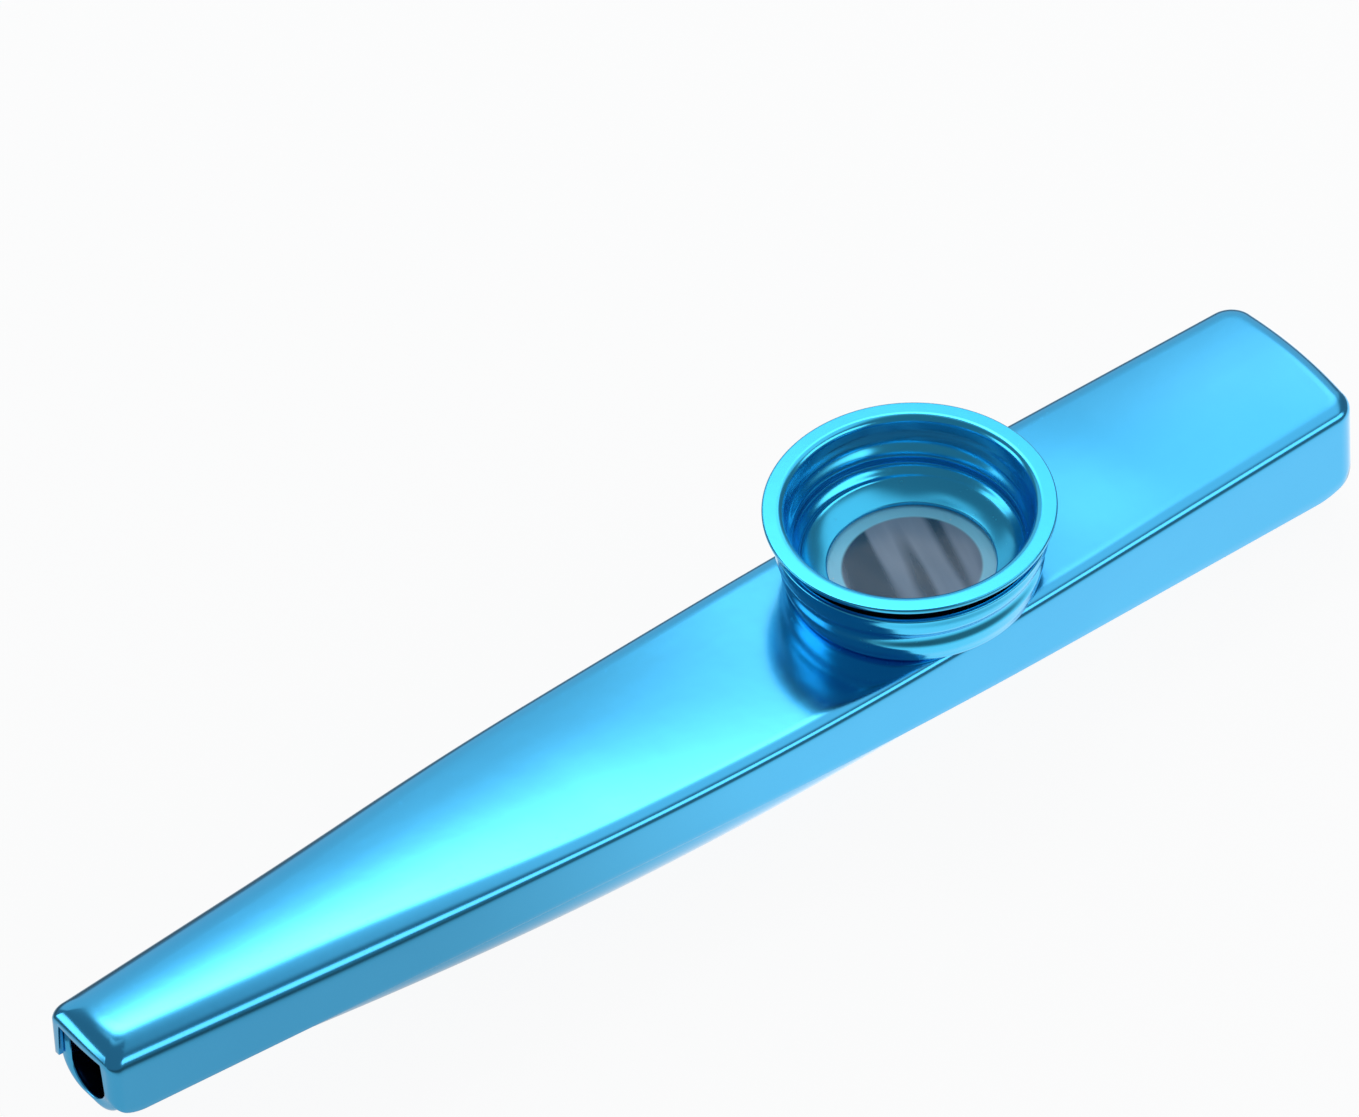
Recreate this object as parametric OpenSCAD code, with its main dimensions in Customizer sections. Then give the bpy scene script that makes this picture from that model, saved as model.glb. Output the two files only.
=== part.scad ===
// Metal kazoo: two pressed shells carry a turret whose screw cap clamps a thin membrane.
// Lengths are in millimetres. X runs from the narrow exit end (-X) to the mouth end (+X),
// Z is up, and the kazoo rests on the flat keel of its lower shell at Z = 0.
// In the functions, d is the distance from the exit end.

/* [Body plan] */
// Overall length of the body
body_len = 120.5; // [105:0.5:150]
// Outside width at the exit end
exit_w = 8.4; // [7.6:0.1:10]
// Outside width at the mouth end
mouth_w = 15.8; // [14:0.1:18]
// Width at which the two straight side tapers would meet
shoulder_w = 19.1; // [17.5:0.1:22]
// Distance from the exit end to where the side tapers would meet
shoulder_at = 60; // [52:0.5:66]
// Half of the length over which the side tapers blend
shoulder_blend = 29; // [16:0.5:34]

/* [Body height] */
// Height of the flat seat of the turret above the keel
body_h = 10.6; // [9.6:0.1:13]
// Rise of the top at the exit end above the turret's seat
exit_rise = 2.35; // [1:0.05:3]
// Distance from the exit end to where the rising top would meet the level top
rise_turn_at = 55.5; // [45:0.5:57]
// Half of the length over which the top blends from rising to level
rise_blend = 12; // [6:0.5:14]
// Height of the exit end of the keel above its level stretch
keel_rise = 5.4; // [3.5:0.1:5.8]
// Distance from the exit end to where the rising keel would meet the level keel
keel_turn_at = 44.5; // [30:0.5:50]
// Half of the length over which the keel blends from rising to level
keel_blend = 22; // [10:0.5:26]
// Width of the flat strip along the keel at the exit end
exit_keel_w = 1.6; // [1.2:0.1:2]
// Width of the flat strip along the keel at the mouth end
mouth_keel_w = 6; // [4:0.1:7]

/* [Upper shell] */
// Thickness of the sheet of both shells
sheet = 0.45; // [0.35:0.05:0.6]
// Outside radius of the edge between the top and the skirts, towards the exit end
exit_edge_r = 1.9; // [1.2:0.05:2.1]
// Outside radius of the edge between the top and the skirts, towards the mouth end
mouth_edge_r = 1.05; // [0.85:0.05:1.3]
// Distances from the exit end between which the edge turns from one radius to the other
edge_change = [18.5, 48.5]; // [10:0.5:60]
// Length over which the flat of the top takes up the sides' stations, behind its corners
edge_settle = 14; // [8:0.5:20]
// Least corner radius of the flat of the top, inside the rounded edge
flat_corner_r = 0.5; // [0.3:0.05:0.8]
// Corner radius of the plan at the exit end
exit_corner_r = 1.1; // [1.1:0.05:1.3]
// Corner radius of the plan at the mouth end
mouth_corner_r = 2.2; // [2.1:0.1:2.6]
// Height of the upper shell at the exit end, from its top to the foot of its skirt
exit_skirt_h = 6.55; // [5.5:0.05:7]
// Height of the upper shell at the mouth end, from its top to the foot of its skirt
mouth_skirt_h = 8.75; // [8:0.05:9.2]
// Distance from the exit end to where the foot of the skirt starts to fall
skirt_turn_at = 46.8; // [35:0.5:60]
// Half of the length over which the foot of the skirt bends
skirt_blend = 10; // [4:0.5:15]
// Bow of the exit end in plan, from its middle to its corners
exit_bow = 0.12; // [0.08:0.01:0.2]
// Bow of the mouth end in plan, from its middle to its corners
mouth_bow = 0.3; // [0.1:0.02:0.4]
// Height of the lip that crosses the open exit end, from the top down
exit_lip_h = 1.4; // [1.2:0.05:1.9]
// Height of the lip that crosses the open mouth end, from the top down
mouth_lip_h = 1.95; // [1.5:0.05:2.3]
// Height of the upright rim of each lip
lip_rim = 0.15; // [0.1:0.05:0.3]
// Width by which each skirt is turned in across the exit end, past its corner
exit_leg = 0.12; // [0.1:0.02:0.4]
// Width by which each skirt is turned in across the mouth end, past its corner
mouth_leg = 0.4; // [0.1:0.05:0.8]
// Length and height of the rounded foot of the skirt at the exit end
exit_foot = [3, 2.2]; // [0.5:0.1:6]
// Length and height of the rounded foot of the skirt at the mouth end
mouth_foot = [5, 4]; // [0.5:0.1:8]

/* [Lower shell] */
// Gap between the skirts and the walls of the lower shell
nest_gap = 0.12; // [0.08:0.01:0.2]
// Gap between the lip of the upper shell and the end walls of the lower shell
end_gap = 0.05; // [0.03:0.01:0.12]
// Outside radius round the exit end wall
exit_wall_r = 0.55; // [0.5:0.01:0.58]
// Outside radius round the mouth end wall
mouth_wall_r = 1.9; // [1.8:0.05:2.2]
// Widths of the exit end wall beside and below its opening
exit_rim = [1.55, 0.66]; // [0.6:0.01:1.8]
// Widths of the mouth end wall beside and below its opening
mouth_rim = [2.3, 2.3]; // [2:0.05:3]

/* [Turret] */
// Distance from the exit end to the axis of the turret
turret_at = 81.1; // [79:0.1:88]
// Thickness of the sheet of the neck
neck_sheet = 0.4; // [0.3:0.05:0.45]
// Radius of the port through the neck
port_r = 5.65; // [4.5:0.05:5.8]
// Outside radius of the neck where it leaves the body
neck_base_r = 10.1; // [9.9:0.05:10.6]
// Outside radius of the neck at its open edge
neck_top_r = 11; // [10.9:0.05:11.4]
// Height of the neck above its seat
neck_h = 5.55; // [4.8:0.05:5.9]
// Outside radius of the bend at the foot of the neck
neck_bend_r = 0.7; // [0.5:0.05:0.9]
// Height of the round bead that the membrane is stretched over, above the seat
bead_h = 0.62; // [0.55:0.01:0.65]
// Width of the round bead
bead_w = 0.9; // [0.85:0.05:1]
// Width of the flare that holds the neck under the upper shell
flare_w = 1; // [0.8:0.05:1.2]
// Radial gap between the collar of the neck and its hole in the upper shell
collar_gap = 0.1; // [0.05:0.01:0.2]

/* [Membrane] */
// Radius of the membrane
membrane_r = 8.6; // [7.6:0.05:8.8]
// Thickness of the membrane
film = 0.08; // [0.04:0.01:0.1]
// Gap above and below the membrane
film_gap = 0.02; // [0.01:0.01:0.03]

/* [Screw cap] */
// Thickness of the sheet of the cap
cap_sheet = 0.42; // [0.3:0.02:0.45]
// Outside radius of the flange of the cap
flange_r = 11.6; // [11.5:0.05:12.4]
// Height of the top of the flange above the seat
cap_h = 7.45; // [7.2:0.05:8]
// Outside radius of the cup just under the flange
cup_top_r = 10.25; // [9.9:0.05:10.3]
// Outside radius of the cup just above its floor
cup_foot_r = 9.5; // [9.2:0.05:9.55]
// Radius of the bend between the cup and the flange
flange_bend_r = 0.6; // [0.4:0.05:0.8]
// Radius of the bend between the cup and its floor
floor_bend_r = 0.8; // [0.5:0.05:1]
// Radius of the hole in the floor of the cup
cap_hole_r = 6.7; // [6.65:0.05:7.2]
// Height by which the floor of the cup rises from its hole to its wall
floor_rise = 0.85; // [0.4:0.05:1.2]

/* [Hidden] */
blue = "#22a9dc";
film_grey = [0.45, 0.45, 0.5, 0.8];
round_fn = 96;
side_steps = 22;
foot_steps = 6;
corner_steps = 6;
face_steps = 4;
edge_steps = 5;
keel_steps = 7;
wall_steps = 4;
slope_step = 0.01;
leg_step = 0.06;
turret_x = turret_at - body_len / 2;
membrane_z = body_h + bead_h + film_gap;
exit_taper = (shoulder_w - exit_w) / 2 / shoulder_at;
mouth_taper = (shoulder_w - mouth_w) / 2 / (body_len - shoulder_at);
skirt_level = body_h + exit_rise - exit_skirt_h;
skirt_fall = (skirt_level - body_h + mouth_skirt_h) / (body_len - skirt_turn_at);
collar_r = port_r + neck_sheet;
exit_wall_at = exit_bow + sheet + end_gap;
mouth_wall_at = body_len - mouth_bow - sheet - end_gap;

// A straight line that turns to a new slope: the change it brings at d, blended by a parabola
function bend(d, turn_at, blend, change) =
    let (u = d - turn_at + blend)
    u <= 0 ? 0 : u >= 2 * blend ? change * (d - turn_at) : change * u * u / (4 * blend);

// Half of the outside width of the upper shell
function half_width(d) = exit_w / 2 + exit_taper * d
    - bend(d, shoulder_at, shoulder_blend, exit_taper + mouth_taper);
function taper(d) = (half_width(d + slope_step) - half_width(d - slope_step)) / (2 * slope_step);

// Heights of the top, the foot of the skirts and the keel
function top_z(d) = body_h + bend(-d, -rise_turn_at, rise_blend, exit_rise / rise_turn_at);
function keel_z(d) = bend(-d, -keel_turn_at, keel_blend, keel_rise / keel_turn_at);
function foot_rise(e, foot) =
    e >= foot[0] ? 0 : foot[1] * (1 - sqrt(1 - pow((foot[0] - e) / foot[0], 2)));
function skirt_z(d) = skirt_level - bend(d, skirt_turn_at, skirt_blend, skirt_fall)
    + foot_rise(d, exit_foot) + foot_rise(body_len - d, mouth_foot);

// Radius of the rounded edge at d
function ease(t) = let (u = min(1, max(0, t))) u * u * (3 - 2 * u);
function edge(d) = exit_edge_r + (mouth_edge_r - exit_edge_r)
    * ease((d - edge_change[0]) / (edge_change[1] - edge_change[0]));

// Distances along a side: close together where its foot is rounded, evenly spread between
function spread(from, to, steps) = [for (i = [1 : steps]) from + (to - from) * i / steps];
exit_cx = exit_bow + exit_corner_r;
mouth_cx = body_len - mouth_bow - mouth_corner_r;
side_stations = concat(
    spread(exit_cx, exit_cx + exit_foot[0], foot_steps),
    spread(exit_cx + exit_foot[0], mouth_cx - mouth_foot[0], side_steps),
    spread(mouth_cx - mouth_foot[0], mouth_cx, foot_steps)
);

// Corner centres of the flat of the top. Where the edge is rounder than the corner of the plan,
// they lie further in than the centres of the plan's corners.
exit_inset = max(exit_corner_r, exit_edge_r + flat_corner_r);
mouth_inset = max(mouth_corner_r, mouth_edge_r + flat_corner_r);
exit_ix = exit_bow + exit_inset;
mouth_ix = body_len - mouth_bow - mouth_inset;
exit_iy = -half_width(exit_ix) + exit_inset / cos(atan(exit_taper));
mouth_iy = -half_width(mouth_ix) + mouth_inset / cos(atan(mouth_taper));
exit_drop = min(exit_edge_r, exit_lip_h - lip_rim);
mouth_drop = min(mouth_edge_r, mouth_lip_h - lip_rim);

// Plan of the upper shell as [x, y, normal x, normal y, height of its free edge, x and y of the
// flat's rim across the rounded edge, depth of the rounded edge]
function rounded(cx, cy, r, ix, iy, ir, from, to, drops) = [
    for (i = [0 : corner_steps])
        let (a = from + (to - from) * i / corner_steps, x = cx + r * cos(a))
        [x, cy + r * sin(a), cos(a), sin(a), skirt_z(x), ix + ir * cos(a), iy + ir * sin(a),
         drops[0] + (drops[1] - drops[0]) * ease(i / corner_steps)]
];
exit_cy = -half_width(exit_cx) + exit_corner_r / cos(atan(exit_taper));
mouth_cy = -half_width(mouth_cx) + mouth_corner_r / cos(atan(mouth_taper));
exit_lip_z = top_z(0) - exit_lip_h;
mouth_lip_z = top_z(body_len) - mouth_lip_h;
exit_leg_y = exit_cy + exit_leg;
mouth_leg_y = mouth_cy + mouth_leg;
function exit_face(y, z) =
    let (x = exit_bow * pow(y / exit_cy, 2))
    [x, y, -1, 0, z, x + exit_edge_r, y * exit_iy / exit_cy, exit_drop];
function mouth_face(y, z) =
    let (x = body_len - mouth_bow * pow(y / mouth_cy, 2))
    [x, y, 1, 0, z, x - mouth_edge_r, y * mouth_iy / mouth_cy, mouth_drop];
function side_point(d) =
    let (n = sqrt(1 + pow(taper(d), 2)),
         ix = d + (exit_ix - exit_cx) * (1 - ease((d - exit_cx) / edge_settle))
            + (mouth_ix - mouth_cx) * ease((d - mouth_cx + edge_settle) / edge_settle))
    [d, -half_width(d), -taper(d) / n, -1 / n, skirt_z(d),
     ix, -half_width(ix) + edge(ix) * sqrt(1 + pow(taper(ix), 2)), edge(d)];
near_plan = concat(
    [for (i = [0 : face_steps]) exit_face((exit_leg_y + leg_step) * i / face_steps, exit_lip_z)],
    [exit_face(exit_leg_y, skirt_z(0))],
    rounded(exit_cx, exit_cy, exit_corner_r, exit_ix, exit_iy, exit_inset - exit_edge_r,
        180, 270 - atan(exit_taper), [exit_drop, edge(exit_cx)]),
    [for (d = side_stations) side_point(d)],
    rounded(mouth_cx, mouth_cy, mouth_corner_r, mouth_ix, mouth_iy, mouth_inset - mouth_edge_r,
        270 + atan(mouth_taper), 360, [edge(mouth_cx), mouth_drop]),
    [mouth_face(mouth_leg_y, skirt_z(body_len))],
    [for (i = [face_steps : -1 : 0]) mouth_face((mouth_leg_y + leg_step) * i / face_steps, mouth_lip_z)]
);
plan = concat(
    near_plan,
    [for (i = [len(near_plan) - 2 : -1 : 1])
        let (p = near_plan[i]) [p[0], -p[1], p[2], -p[3], p[4], p[5], -p[6], p[7]]]
);

// Closed surface through a row of rings. At both ends a strip joins point i to point shift - i.
function partner(i, n, shift) = (shift - i + 2 * n) % n;
function strip(base, n, shift, turned) = [
    for (i = [0 : floor((n + shift) / 2) - 1])
        let (a = i, b = i + 1, c = partner(b, n, shift), d = partner(a, n, shift))
        for (t = concat(b != c ? [[a, b, c]] : [], a != d ? [[a, c, d]] : []))
            turned ? [base + t[2], base + t[1], base + t[0]] : [base + t[0], base + t[1], base + t[2]]
];
function band(base, n) = [
    for (i = [0 : n - 1])
        let (a = base + i, b = base + (i + 1) % n)
        for (t = [[b + n, a + n, a], [b, b + n, a]]) t
];
module skin(rings, shift) {
    n = len(rings[0]);
    polyhedron(
        points = [for (ring = rings) for (p = ring) [p[0] - body_len / 2, p[1], p[2]]],
        faces = concat(
            strip(0, n, shift, true),
            [for (k = [0 : len(rings) - 2]) for (t = band(k * n, n)) t],
            strip((len(rings) - 1) * n, n, shift, false)
        ),
        convexity = 8
    );
}

// Rings round the plan, moved inwards by inset: the free edge, and the turns of the rounded edge
// from the flat of the top to the skirt
function free_edge(inset) = [for (p = plan) [p[0] - p[2] * inset, p[1] - p[3] * inset, p[4]]];
function edge_rings(inset, turns) = [
    for (i = turns)
        let (a = 90 * i / edge_steps)
        [
            for (p = plan)
                let (x = p[5] + (p[0] - p[2] * inset - p[5]) * cos(a),
                     y = p[6] + (p[1] - p[3] * inset - p[6]) * cos(a))
                [x, y, top_z(x) - inset - (p[7] - inset) * (1 - sin(a))]
        ]
];

// Upper shell: level and rising top, rounded edge, skirts to the foot and a lip at each end
module upper_shell() {
    color(blue)
        difference() {
            skin(
                concat(
                    edge_rings(0, [edge_steps : -1 : 0]),
                    [free_edge(0), free_edge(sheet)],
                    edge_rings(sheet, [0 : edge_steps])
                ),
                0
            );
            translate([turret_x, 0, body_h - 2 * sheet])
                cylinder(h = 4 * sheet, r = collar_r + collar_gap, $fn = round_fn);
        }
}

// Cross-section of the lower shell as [d, half width, keel height, corner radius]
function trough(d, inset) =
    let (half = half_width(d) - sheet - nest_gap,
         flat = (exit_keel_w + (mouth_keel_w - exit_keel_w) * d / body_len) / 2)
    [d, half - inset, keel_z(d) + inset, half - flat - inset];
// Opening in an end wall, seen as the trough's section less the wall's widths
function opening(d, rim) =
    let (s = trough(d, 0), half = s[1] - rim[0])
    [d, half, s[2] + rim[1], min(half - leg_step, s[3] - rim[1] / 2)];
function end_wall(from, dir, r, inset, rim, turns) = concat(
    [let (o = opening(from, rim)) [from + dir * inset, o[1], o[2], o[3]]],
    [
        for (i = turns)
            let (a = 90 * i / wall_steps, q = r - inset, d = from + dir * (r - q * cos(a)))
            let (s = trough(from + dir * r, r - q * sin(a)))
            [d, s[1], s[2], s[3]]
    ]
);
function turn_back(list) = [for (i = [len(list) - 1 : -1 : 0]) list[i]];
trough_stations = spread(
    exit_wall_at + exit_wall_r, mouth_wall_at - mouth_wall_r, side_steps + foot_steps
);
function trough_side(inset) = concat(
    end_wall(exit_wall_at, 1, exit_wall_r, inset, exit_rim, [0 : wall_steps]),
    [for (d = trough_stations) if (d < mouth_wall_at - mouth_wall_r - leg_step) trough(d, inset)],
    turn_back(end_wall(mouth_wall_at, -1, mouth_wall_r, inset, mouth_rim, [0 : wall_steps]))
);
trough_loop = concat(trough_side(0), turn_back(trough_side(sheet)));

// Point j of a section, from the near top edge down the wall, round the keel and up again
keel_points = 2 * keel_steps + 4;
function trough_point(s, j) =
    let (near = j < keel_points / 2,
         k = near ? j : keel_points - 1 - j,
         a = 180 + 90 * (k - 1) / keel_steps)
    let (y = k == 0 ? -s[1] : -s[1] + s[3] + s[3] * cos(a),
         z = k == 0 ? top_z(s[0]) - edge(s[0]) : s[2] + s[3] + s[3] * sin(a))
    [s[0], near ? y : -y, z];

// Lower shell: a trough between the skirts, closed at each end by a wall with an opening
module lower_shell() {
    color(blue)
        skin([for (j = [0 : keel_points - 1]) [for (s = trough_loop) trough_point(s, j)]], -1);
}

// Arc of a sheet's centre line in the plane of radius and height
function arc(cx, cy, r, from, to, steps) = [
    for (i = [0 : steps])
        let (a = from + (to - from) * i / steps)
        [cx + r * cos(a), cy + r * sin(a)]
];
// Outline of a sheet of thickness t along a centre line
function unit(v) = v / norm(v);
function side_of(p, i) =
    let (u = unit(p[min(i + 1, len(p) - 1)] - p[min(i, len(p) - 2)]),
         v = unit(p[max(i, 1)] - p[max(i - 1, 0)]),
         n = unit([-(u[1] + v[1]), u[0] + v[0]]))
    n / max(0.5, n * [-u[1], u[0]]);
function thicken(p, t) = concat(
    [for (i = [0 : len(p) - 1]) p[i] + side_of(p, i) * t / 2],
    [for (i = [len(p) - 1 : -1 : 0]) p[i] - side_of(p, i) * t / 2]
);
module turned(path, t) {
    translate([turret_x, 0, body_h])
        rotate_extrude($fn = round_fn)
            polygon(thicken(path, t));
}

// Neck: flared collar through the upper shell, bead, floor and a cup that widens upwards
neck_mid = neck_sheet / 2;
collar_mid = port_r + neck_mid;
bead_arc = (bead_w - neck_sheet) / 2;
bead_cz = bead_h - neck_mid - bead_arc;
bead_end = asin(max(0, neck_mid - bead_cz) / bead_arc);
neck_lean = atan((neck_top_r - neck_base_r) / (neck_h - neck_bend_r));
neck_arc = neck_bend_r - neck_mid;
flare_z = -sheet - end_gap - neck_mid;
neck_path = concat(
    [[collar_mid + flare_w, flare_z]],
    arc(collar_mid + neck_mid, flare_z + neck_mid, neck_mid, 270, 180, 3),
    arc(collar_mid + bead_arc, bead_cz, bead_arc, 180, bead_end, 8),
    arc(neck_base_r - neck_bend_r, neck_bend_r, neck_arc, 270, 360 - neck_lean, 5),
    [[neck_top_r - neck_mid, neck_h]]
);
module turret_neck() {
    color(blue)
        turned(neck_path, neck_sheet);
}

// Membrane: a thin clear disc between the bead and the floor of the cap
module membrane() {
    color(film_grey)
        translate([turret_x, 0, membrane_z])
            cylinder(h = film, r = membrane_r, $fn = round_fn);
}

// Screw cap: dished floor with its hole, cup that widens upwards, and a flat flange
cap_mid = cap_sheet / 2;
floor_dish = atan(floor_rise / (cup_foot_r - cap_hole_r));
cap_floor_z = bead_h + film + 2 * film_gap + cap_mid / cos(floor_dish);
cup_lean = atan((cup_top_r - cup_foot_r) / (cap_h - cap_floor_z - floor_rise));
floor_arc = floor_bend_r - cap_mid;
flange_arc = flange_bend_r - cap_mid;
cap_path = concat(
    [[cap_hole_r, cap_floor_z]],
    arc(cup_foot_r - floor_bend_r, cap_floor_z + floor_rise + floor_arc,
        floor_arc, 270 + floor_dish, 360 - cup_lean, 5),
    arc(cup_top_r + flange_bend_r - cap_sheet, cap_h - flange_bend_r,
        flange_arc, 180 - cup_lean, 90, 5),
    [[flange_r, cap_h - cap_mid]]
);
module screw_cap() {
    color(blue)
        turned(cap_path, cap_sheet);
}

upper_shell();
lower_shell();
turret_neck();
membrane();
screw_cap();
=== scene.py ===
"""Looks of a blue anodised metal kazoo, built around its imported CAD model.

Every surface is a numpy grid of two parameters. Sizes are in millimetres and
become metres when a mesh is made. X runs from the narrow exit end to the wide
mouth end, Z is up, and the kazoo rests on its keel at Z = 0.
"""

import logging
import math
from dataclasses import dataclass, field
from enum import Enum

import bmesh
import bpy
import numpy as np
from mathutils import Matrix, Vector


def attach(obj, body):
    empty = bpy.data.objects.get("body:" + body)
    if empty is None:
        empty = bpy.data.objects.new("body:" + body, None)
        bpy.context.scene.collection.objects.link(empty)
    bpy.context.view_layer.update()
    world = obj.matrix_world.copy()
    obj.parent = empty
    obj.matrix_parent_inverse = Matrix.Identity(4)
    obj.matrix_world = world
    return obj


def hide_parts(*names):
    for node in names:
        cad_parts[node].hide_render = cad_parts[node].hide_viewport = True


log = logging.getLogger("kazoo")
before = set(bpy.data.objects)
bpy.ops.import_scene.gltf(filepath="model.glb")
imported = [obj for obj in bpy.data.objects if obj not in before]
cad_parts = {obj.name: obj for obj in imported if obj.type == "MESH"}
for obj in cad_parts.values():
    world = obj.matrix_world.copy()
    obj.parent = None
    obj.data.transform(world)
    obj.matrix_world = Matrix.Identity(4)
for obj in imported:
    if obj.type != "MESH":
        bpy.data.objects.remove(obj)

MM = 0.001
WELD_M = 2e-7
ZERO_MM = 1e-3
Array = np.ndarray


# Plain functions of numbers and arrays


def bend(d: Array, turn_at: float, blend: float, change: float) -> Array:
    """Height that a straight line gains where it turns to a new slope.

    It is zero before the turn and change * (d - turn_at) after it. Between
    them runs the parabola that is tangent to both, over blend on each side.

    Args:
        d: Distances along the line.
        turn_at: Where the two straight lines would meet.
        blend: Half of the length of the parabola.
        change: Change of slope.

    Returns:
        The gain at each distance.
    """
    u = np.asarray(d, float) - turn_at + blend
    curved = change * u * u / (4 * blend)
    return np.where(u <= 0, 0.0, np.where(u >= 2 * blend, change * (u - blend), curved))


def smooth(x: Array, low: float, high: float) -> Array:
    """Eased step from 0 at low to 1 at high: 3t^2 - 2t^3."""
    t = np.clip((np.asarray(x, float) - low) / (high - low), 0, 1)
    return t * t * (3 - 2 * t)


def spread(start: float, stop: float, steps: int) -> Array:
    """Evenly spaced values from start, left out, to stop, kept."""
    return np.linspace(start, stop, steps + 1)[1:]


def arc(
    centre: tuple[float, float], radius: float, start: float, stop: float, steps: int
) -> Array:
    """Points of a circular arc in a plane.

    Args:
        centre: The arc's centre.
        radius: Its radius.
        start: First angle in degrees.
        stop: Last angle in degrees.
        steps: Number of equal steps between them.

    Returns:
        An array of steps + 1 points: centre + radius * (cos a, sin a).
    """
    a = np.radians(np.linspace(start, stop, steps + 1))
    return np.stack([centre[0] + radius * np.cos(a), centre[1] + radius * np.sin(a)], 1)


def resample(path: Array, step: float) -> Array:
    """Spaces the points of a polyline evenly along its length.

    Args:
        path: The polyline's points.
        step: Distance between the new points, rounded to fit.

    Returns:
        The new points, both ends kept.
    """
    length = np.concatenate([[0], np.cumsum(np.hypot(*np.diff(path, axis=0).T))])
    even = np.linspace(0, length[-1], max(2, round(length[-1] / step) + 1))
    return np.stack([np.interp(even, length, path[:, k]) for k in (0, 1)], 1)


# Meshes


class SurfaceMesh:
    """Collects grids of points and joins them into one closed, smooth mesh."""

    def __init__(self, name: str) -> None:
        """Starts an empty mesh.

        Args:
            name: Name of the Blender object.
        """
        self.name = name
        self.points: list[Array] = []
        self.quads: list[Array] = []
        self.count = 0

    def grid(self, points: Array, wrap_rows: bool = False, wrap_columns: bool = False) -> Array:
        """Adds a grid of points and the quads between its neighbours.

        Args:
            points: Array of rows by columns by 3, in millimetres.
            wrap_rows: Join the last row to the first one.
            wrap_columns: Join the last column to the first one.

        Returns:
            The index of each grid point in the mesh.
        """
        rows, columns = points.shape[:2]
        index = self.count + np.arange(rows * columns).reshape(rows, columns)
        self.points.append(points.reshape(-1, 3))
        self.count += rows * columns
        i = np.vstack([index, index[:1]]) if wrap_rows else index
        i = np.hstack([i, i[:, :1]]) if wrap_columns else i
        self.faces(i[:-1, :-1], i[1:, :-1], i[1:, 1:], i[:-1, 1:])
        return index

    def faces(self, a: Array, b: Array, c: Array, d: Array) -> None:
        """Adds one quad for each set of four corner indices."""
        self.quads.append(np.stack([a, b, c, d], -1).reshape(-1, 4))

    def build(
        self, body: str, node: str, slot: str, material: bpy.types.Material
    ) -> bpy.types.Object:
        """Welds the grids into an object that stands for a CAD node.

        Args:
            body: CAD body that the piece moves with.
            node: CAD node that the piece stands for.
            slot: Material slot of the record; not used.
            material: Finish of the piece.

        Returns:
            The finished object.
        """
        mesh = bpy.data.meshes.new(self.name)
        points = np.vstack(self.points) * MM
        quads = np.vstack(self.quads)
        mesh.from_pydata(points.tolist(), [], quads.tolist())
        work = bmesh.new()
        work.from_mesh(mesh)
        bmesh.ops.remove_doubles(work, verts=work.verts, dist=WELD_M)
        bmesh.ops.recalc_face_normals(work, faces=work.faces)
        if work.calc_volume(signed=True) < 0:
            bmesh.ops.reverse_faces(work, faces=work.faces)
        open_edges = sum(not e.is_manifold for e in work.edges)
        work.to_mesh(mesh)
        work.free()
        mesh.polygons.foreach_set("use_smooth", np.ones(len(mesh.polygons), bool))
        mesh.materials.append(material)
        piece = bpy.data.objects.new(self.name, mesh)
        bpy.context.scene.collection.objects.link(piece)
        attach(piece, body)
        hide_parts(node)
        log.info("%s: %d vertices, %d open edges", self.name, len(mesh.vertices), open_edges)
        return piece


# Body lines, shared by both shells


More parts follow.
